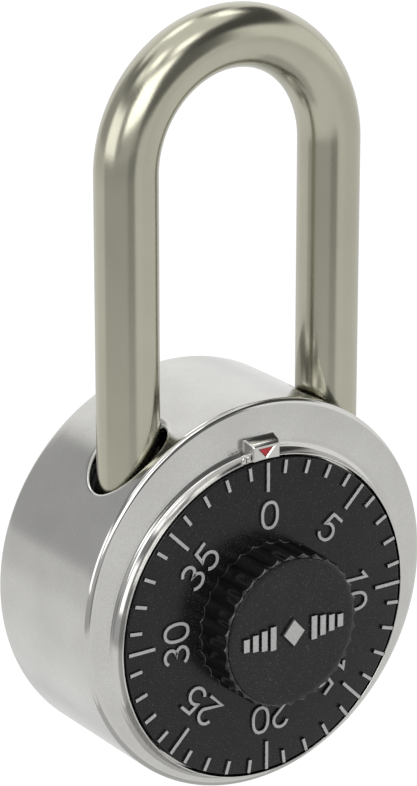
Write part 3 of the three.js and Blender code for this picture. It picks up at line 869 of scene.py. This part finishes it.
def digit_paths():
    """The centre lines of the digits in a box one unit high, its middle at the origin."""
    zero = []
    zero_steps = 40
    half_width, half_height, fullness = 0.335, 0.5, 0.85
    for i in range(zero_steps):
        turn = 2 * math.pi * i / zero_steps
        across, up = math.cos(turn), math.sin(turn)
        zero.append(Vector((half_width * math.copysign(abs(across) ** fullness, across),
                            half_height * math.copysign(abs(up) ** fullness, up))))
    one = [Vector(p) for p in ((-0.28, 0.3), (-0.02, 0.5), (-0.02, -0.5))]
    two = oval((-0.02, 0.2), 0.31, 0.3, 168, -32, 16) + [Vector(p) for p in ((-0.36, -0.5), (0.36, -0.5))]
    three_top = oval((-0.04, 0.25), 0.28, 0.25, 155, -90, 16)
    three_low = oval((-0.04, -0.24), 0.33, 0.26, 90, -155, 18)
    three = three_top + three_low[1:]
    five = [Vector(p) for p in ((0.32, 0.5), (-0.2, 0.5), (-0.27, 0.06))]
    five += oval((-0.03, -0.18), 0.34, 0.32, 128, -150, 20)
    return {"0": (zero, True), "1": (one, False), "2": (two, False), "3": (three, False), "5": (five, False)}


def make_numerals():
    paths = digit_paths()
    for number, shift in NUMERAL_SHIFT.items():
        digits = str(number)
        bm = bmesh.new()
        angle = math.radians(number * DEGREES_PER_NUMBER)
        up = Vector((math.sin(angle), math.cos(angle)))
        right = Vector((math.cos(angle), -math.sin(angle)))
        middle = Vector((0, DIAL_Z)) + up * NUMERAL_RADIUS + right * shift * MM
        for place, digit in enumerate(digits):
            centre = middle + right * DIGIT_SPACING * (place - (len(digits) - 1) / 2)
            path, closed = paths[digit]
            placed = [centre + (right * p.x + up * p.y) * NUMERAL_HEIGHT for p in path]
            raised_stroke(bm, placed, NUMERAL_STROKE, MARK_BASE, MARK_HEIGHT, closed)
        paint_tops(bm, MARK_BASE, MARK_HEIGHT)
        numeral = to_object(bm, "numeral_" + digits, [DIAL_BLACK, MARK_GREY], "dial")


# ---------------------------------------------------------------- knob
def fluted_row(ridge, depth, y):
    """One turn round the knob: a concave scallop between each pair of ridges."""
    per_flute = 10
    row = []
    for i in range(FLUTES * per_flute):
        angle = 2 * math.pi * i / (FLUTES * per_flute)
        across = 2 * (i % per_flute) / per_flute - 1
        radius = ridge - depth * (1 - across * across)
        row.append(around(DIAL_Z, radius, y, angle - FLUTE_TURN))
    return row


def make_knob():
    bm = bmesh.new()
    back = KNOB_HIGH.y
    ridge = KNOB_RADIUS
    recess_radius = CAP_RADIUS + 0.03 * MM
    recess = CAP_HIGH.y + 0.05 * MM
    flare = 0.14 * MM
    shoulder = KNOB_FACE + 0.2 * MM
    # Each level is (radius of the ridges, depth of the flutes, y), once round the section.
    levels = [
        (SPINDLE_BORE, 0.0, back),
        (ridge + flare, FLUTE_DEPTH, back),
        (ridge + flare, FLUTE_DEPTH, back - 0.05 * MM),
        (ridge + flare * 0.35, FLUTE_DEPTH, back - 0.1 * MM),
        (ridge, FLUTE_DEPTH, back - 0.3 * MM),
        (ridge - 0.02 * MM, FLUTE_DEPTH, shoulder + 0.16 * MM),
        (ridge - 0.14 * MM, FLUTE_DEPTH * 0.9, shoulder + 0.03 * MM),
        (ridge - 0.2 * MM, FLUTE_DEPTH * 0.85, shoulder),
        (recess_radius, 0.0, shoulder + 0.04 * MM),
        (recess_radius, 0.0, recess),
        (SPINDLE_BORE, 0.0, recess),
        (SPINDLE_BORE, 0.0, back),
    ]
    skin(bm, [fluted_row(r, d, y) for r, d, y in levels])
    knob = to_object(bm, "knob_grip", [KNOB_BLACK], "dial", sharp=25)
    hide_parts("dial_knob")


def make_knob_face():
    """A flat disc whose edge rolls off softly before it drops to the fluted shoulder."""
    bm = bmesh.new()
    flat = CAP_RADIUS - 0.95 * MM
    brow = (CAP_RADIUS - 0.2 * MM, KNOB_FACE + 0.06 * MM)
    profile = [(CAP_RADIUS * 0.5, KNOB_FACE)]
    profile += bezier([(flat, KNOB_FACE), (flat + 0.45 * MM, KNOB_FACE), brow], 8)
    profile += bezier([brow, (CAP_RADIUS, KNOB_FACE + 0.1 * MM), (CAP_RADIUS, KNOB_FACE + 0.26 * MM)], 8)[1:]
    profile += [(CAP_RADIUS, CAP_HIGH.y)]
    turned(bm, profile, DIAL_Z, 160, closed_section=False)
    face = to_object(bm, "knob_face", [CAP_BLACK], "dial")
    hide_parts("knob_cap")


def make_motif():
    """A plain raised ornament: a lozenge between two rows of shrinking bars."""
    bm = bmesh.new()
    base = KNOB_FACE + 0.01 * MM
    height = 0.38 * MM
    lozenge = [(0, 1.9 * MM), (1.7 * MM, 0), (0, -1.9 * MM), (-1.7 * MM, 0)]
    rows = []
    for scale, rise in ((1.0, 0.0), (0.95, height * 0.7), (0.85, height)):
        rows.append([Vector((x * scale, base - rise, DIAL_Z + z * scale)) for x, z in lozenge])
    skin(bm, rows)
    for corners in (rows[-1], rows[0]):
        bm.faces.new([bm.verts.new(p) for p in corners])
    first_bar, spacing, bar_width = 2.9 * MM, 1.25 * MM, 0.8 * MM
    first_half, shrink = 1.45 * MM, 0.22 * MM
    for side in (-1, 1):
        for i in range(4):
            x = side * (first_bar + spacing * i)
            half = first_half - shrink * i
            path = [Vector((x, DIAL_Z - half)), Vector((x, DIAL_Z + half))]
            raised_stroke(bm, path, bar_width, base, height)
    paint_tops(bm, base, height)
    motif = to_object(bm, "knob_motif", [CAP_BLACK, MARK_GREY], "dial")


# ---------------------------------------------------------------- shackle
def heel_levels():
    """The heel leg as (height above the dial's axis, radius), bottom to top: end, collar, neck, full bar."""
    bar = BAR_RADIUS
    bottom = HEEL_END - DIAL_Z
    chamfer, edge = 0.5 * MM, 0.2 * MM
    collar_top = bottom + 2.5 * MM
    neck, neck_top = 2.4 * MM, 11.1 * MM
    levels = [(bottom, bar - chamfer), (bottom + chamfer, bar)]
    levels += [(collar_top - edge, bar), (collar_top, bar - edge)]
    levels += [(collar_top, neck), (neck_top, neck)]
    levels += [(neck_top, bar - edge), (neck_top + edge, bar)]
    return levels


def toe_levels():
    """The toe leg, top to bottom: (height above the dial's axis, radius, x that the notch cuts back to)."""
    bar = BAR_RADIUS
    chamfer = 0.6 * MM
    inner = LEG_X - BAR_RADIUS
    floor, notch_top = 11.95 * MM, 19.3 * MM
    # The notch's ramp draws the latch back: its nose and underside, and how far it moves per lift.
    nose, underside, clearance = 11.6 * MM, 16.9 * MM, 0.2 * MM
    latch_per_lift = 0.45
    ramp_low = underside - (nose - inner + clearance) / latch_per_lift
    ramp_high = ramp_low + (floor - inner) / latch_per_lift
    levels = [(notch_top + floor - inner, bar, inner), (notch_top, bar, floor), (ramp_high, bar, floor)]
    levels += [(ramp_low, bar, inner), (TOE_TIP + chamfer, bar, inner), (TOE_TIP, bar - chamfer, inner)]
    return levels


def bar_row(x, z, angle, radius=BAR_RADIUS, cut=None):
    """A ring of points round the bar; cut flattens the side that lies left of that x."""
    outward = Vector((math.cos(angle), 0, math.sin(angle)))
    row = []
    for k in range(BAR_SIDES):
        turn = 2 * math.pi * k / BAR_SIDES
        point = Vector((x, 0, z)) + outward * radius * math.cos(turn)
        point.y += radius * math.sin(turn)
        if cut is not None:
            point.x = max(point.x, cut)
        row.append(point)
    return row


def shackle_rows():
    """Rings up the heel leg, round the bow and down the toe leg."""
    rows = [bar_row(-LEG_X, DIAL_Z + z, math.pi, radius) for z, radius in heel_levels()]
    leg_steps, bow_steps = 24, 72
    heel_top = DIAL_Z + heel_levels()[-1][0]
    toe = toe_levels()
    toe_top = DIAL_Z + toe[0][0]
    for i in range(1, leg_steps):
        rows.append(bar_row(-LEG_X, heel_top + (BOW_Z - heel_top) * i / leg_steps, math.pi))
    for i in range(bow_steps + 1):
        angle = math.pi * (1 - i / bow_steps)
        rows.append(bar_row(LEG_X * math.cos(angle), BOW_Z + LEG_X * math.sin(angle), angle))
    for i in range(1, leg_steps):
        rows.append(bar_row(LEG_X, BOW_Z + (toe_top - BOW_Z) * i / leg_steps, 0))
    rows += [bar_row(LEG_X, DIAL_Z + z, 0, radius, cut) for z, radius, cut in toe]
    return rows


def make_shackle():
    bm = bmesh.new()
    rows = shackle_rows()
    skin(bm, rows)
    cap(bm, rows[0])
    cap(bm, rows[-1])
    bar = to_object(bm, "shackle_bar", [SHACKLE_STEEL], "shackle")
    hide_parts("shackle")


# ---------------------------------------------------------------- the latch's spring
def make_latch_coil():
    """A round-wire coil in the place of the latch spring, riding on the lever."""
    low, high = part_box("latch_spring")
    turns, steps, sides = 4, 40, 12
    wire = 0.17 * MM
    radius = (high.z - low.z) / 2 - wire
    middle = (low + high) / 2
    first, last = low.x + wire, high.x - wire
    rise = (last - first) / (turns * steps)
    rows = []
    for i in range(turns * steps + 1):
        angle = 2 * math.pi * i / steps
        outward = Vector((0, math.cos(angle), math.sin(angle)))
        centre = Vector((first + rise * i, middle.y, middle.z)) + outward * radius
        row = []
        for k in range(sides):
            turn = 2 * math.pi * k / sides
            row.append(centre + outward * wire * math.cos(turn) + Vector((wire * math.sin(turn), 0, 0)))
        rows.append(row)
    bm = bmesh.new()
    skin(bm, rows)
    cap(bm, rows[0])
    cap(bm, rows[-1])
    coil = to_object(bm, "latch_coil", [SPRING_STEEL], "lever")
    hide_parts("latch_spring")
    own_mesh(coil)


# ---------------------------------------------------------------- the rest of the inside keeps its CAD pieces
INSIDE = {
    "guide_frame": BLACK_CASTING,
    "shackle_stop_pin": PLATED_STEEL,
    "lever_pivot_pin": PLATED_STEEL,
    "spindle_bush": BRASS,
    "dial_friction_washer": SPRING_STEEL,
    "wheel_post": PLATED_STEEL,
    "wheel_retaining_clip": SPRING_STEEL,
    "wheel_spacer": PLATED_STEEL,
    "wheel_spring": SPRING_STEEL,
    "lever_spring": SPRING_STEEL,
    "dial_spindle": PLATED_STEEL,
    "drive_cam": ZINC,
    "middle_wheel": BRASS,
    "back_wheel": BRASS,
    "fence_lever": PLATED_STEEL,
    "spring_latch": PLATED_STEEL,
}


def finish_inside():
    for name, material in INSIDE.items():
        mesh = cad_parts[name].data
        mesh.materials.clear()
        mesh.materials.append(material)


make_camera()
make_world()
make_floor()
make_case_shell()
make_index_block(SHELL_LOW.y)
make_index_mark(SHELL_LOW.y)
make_rear_cover()
make_dial_plate()
make_ticks()
make_numerals()
make_knob()
make_knob_face()
make_motif()
make_shackle()
make_latch_coil()
finish_inside()
bpy.context.scene.view_settings.view_transform = "Standard"
